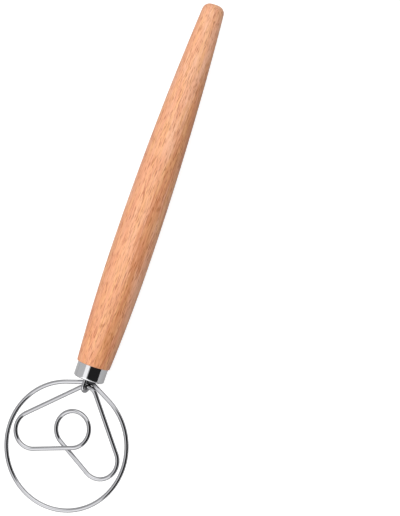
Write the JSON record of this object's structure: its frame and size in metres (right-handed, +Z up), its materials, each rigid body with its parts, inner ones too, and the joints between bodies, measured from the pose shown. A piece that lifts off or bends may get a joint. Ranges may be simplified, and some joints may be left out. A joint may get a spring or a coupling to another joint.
{
  "type": "dough whisk",
  "caption": "Hand whisk for bread dough: barrel-shaped wooden handle, steel ferrule and a flat head of a round wire ring with a looped inner wire.",
  "frame": {"origin": "in the middle of the grip, on the handle's axis at its thickest place", "axes": "+X along the handle to its butt end, the wire head points along -X with its loops level, +Z up"},
  "size_m": [0.3358, 0.084, 0.0263],
  "materials": {
    "handle_wood": "turned and oiled hardwood, satin",
    "wire_steel": "polished stainless wire",
    "ferrule_steel": "polished stainless sheet",
    "resin": "set adhesive"
  },
  "bodies": {
    "root": {"handle": "handle_wood", "ferrule": "ferrule_steel", "hairpin": "wire_steel", "outer_ring": "wire_steel", "inner_loop": "wire_steel", "resin_plug": "resin"}
  },
  "joints": []
}
